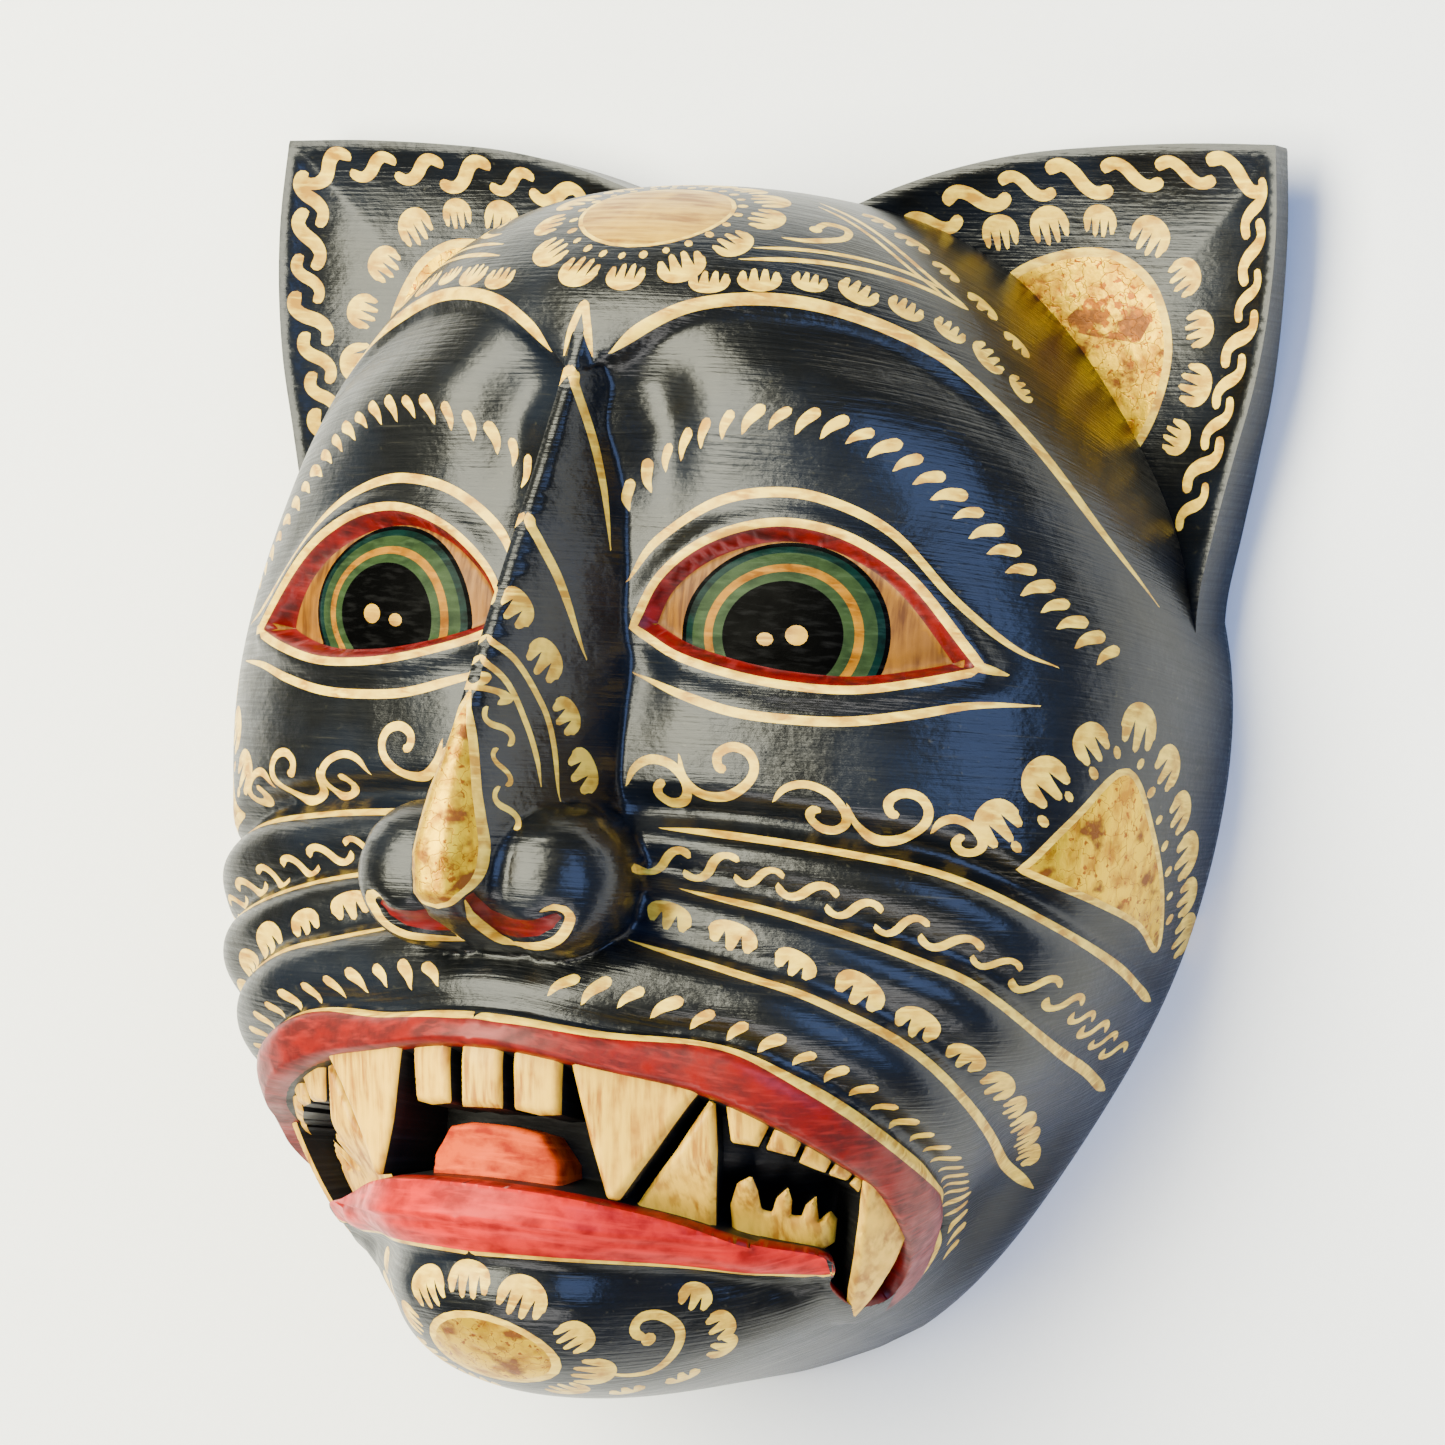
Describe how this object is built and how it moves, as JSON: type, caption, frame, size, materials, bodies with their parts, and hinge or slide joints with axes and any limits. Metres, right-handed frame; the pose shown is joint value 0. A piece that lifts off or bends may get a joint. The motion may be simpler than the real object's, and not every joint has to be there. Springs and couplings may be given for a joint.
{
  "type": "demon cat mask",
  "caption": "Carved and painted wooden mask of a snarling demon cat, with pointed ears, bared teeth and a hollowed back.",
  "frame": {"origin": "middle of the mask in plan, on the plane of its flat back rim", "axes": "the mask lies on its back: +Z out of the face, +Y towards the ears, +X to a viewer's right"},
  "size_m": [0.212, 0.233, 0.1177],
  "materials": {
    "painted_wood": "glossy dark lacquer with painted ornament and gold leaf"
  },
  "bodies": {
    "root": {"cat_mask": "painted_wood"}
  },
  "joints": []
}
